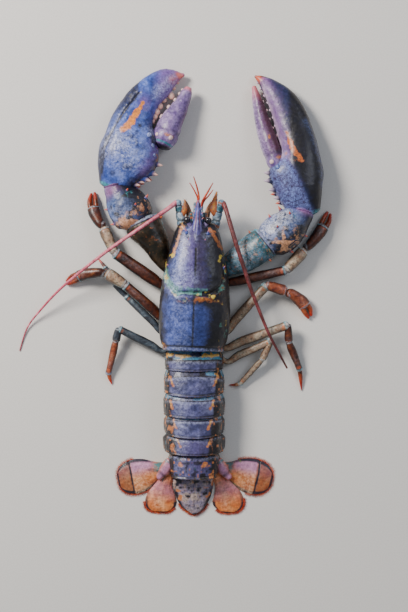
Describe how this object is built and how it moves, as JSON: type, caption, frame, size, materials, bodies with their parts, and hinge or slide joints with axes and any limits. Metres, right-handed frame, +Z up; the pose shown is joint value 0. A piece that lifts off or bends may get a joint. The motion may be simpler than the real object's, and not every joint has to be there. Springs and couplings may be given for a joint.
{
  "type": "american lobster",
  "caption": "Life-size american lobster lying flat, claws reaching forward, tail stretched out and fan spread.",
  "frame": {"origin": "on the flat under the thorax, on the body's midline, where the animal rests on the floor", "axes": "+Y along the body towards the head, +Z up from the floor, +X to the animal's right"},
  "size_m": [0.2339, 0.3322, 0.0425],
  "materials": {
    "carapace_shell": "satin",
    "abdomen_shell": "satin",
    "telson_shell": "satin",
    "tail_fan_shell": "satin",
    "claw_shell": "gloss",
    "arm_shell": "satin",
    "leg_shell": "satin",
    "antenna_shell": "satin",
    "antennule_shell": "satin",
    "underside_shell": "satin",
    "eye": "gloss"
  },
  "bodies": {
    "root": {"carapace": "carapace_shell", "thorax": "underside_shell", "maxilliped_left": "underside_shell", "maxilliped_right": "underside_shell", "eye_left": "eye", "eye_right": "eye", "antennule_left": "antennule_shell", "antennule_right": "antennule_shell", "antenna_left_base": "antenna_shell", "antenna_left_flagellum": "antenna_shell", "antenna_right_base": "antenna_shell", "antenna_right_flagellum": "antenna_shell", "claw_left_propodus": "claw_shell", "claw_left_dactyl": "claw_shell", "claw_left_carpus": "arm_shell", "claw_left_merus": "arm_shell", "claw_right_propodus": "claw_shell", "claw_right_dactyl": "claw_shell", "claw_right_carpus": "arm_shell", "claw_right_merus": "arm_shell", "leg_left_2_merus": "leg_shell", "leg_left_2_carpus": "leg_shell", "leg_left_2_propodus": "leg_shell", "leg_left_3_merus": "leg_shell", "leg_left_3_carpus": "leg_shell", "leg_left_3_propodus": "leg_shell", "leg_left_4_merus": "leg_shell", "leg_left_4_carpus": "leg_shell", "leg_left_4_propodus": "leg_shell", "leg_left_5_merus": "leg_shell", "leg_left_5_carpus": "leg_shell", "leg_left_5_propodus": "leg_shell", "leg_right_2_merus": "leg_shell", "leg_right_2_carpus": "leg_shell", "leg_right_2_propodus": "leg_shell", "leg_right_3_merus": "leg_shell", "leg_right_3_carpus": "leg_shell", "leg_right_3_propodus": "leg_shell", "leg_right_4_merus": "leg_shell", "leg_right_4_carpus": "leg_shell", "leg_right_4_propodus": "leg_shell", "leg_right_5_merus": "leg_shell", "leg_right_5_carpus": "leg_shell", "leg_right_5_propodus": "leg_shell", "abdomen_1": "abdomen_shell", "abdomen_2": "abdomen_shell", "abdomen_3": "abdomen_shell", "abdomen_4": "abdomen_shell", "abdomen_5": "abdomen_shell", "abdomen_6": "abdomen_shell", "telson": "telson_shell", "uropod_left_endopod": "tail_fan_shell", "uropod_left_exopod": "tail_fan_shell", "uropod_right_endopod": "tail_fan_shell", "uropod_right_exopod": "tail_fan_shell"}
  },
  "joints": []
}
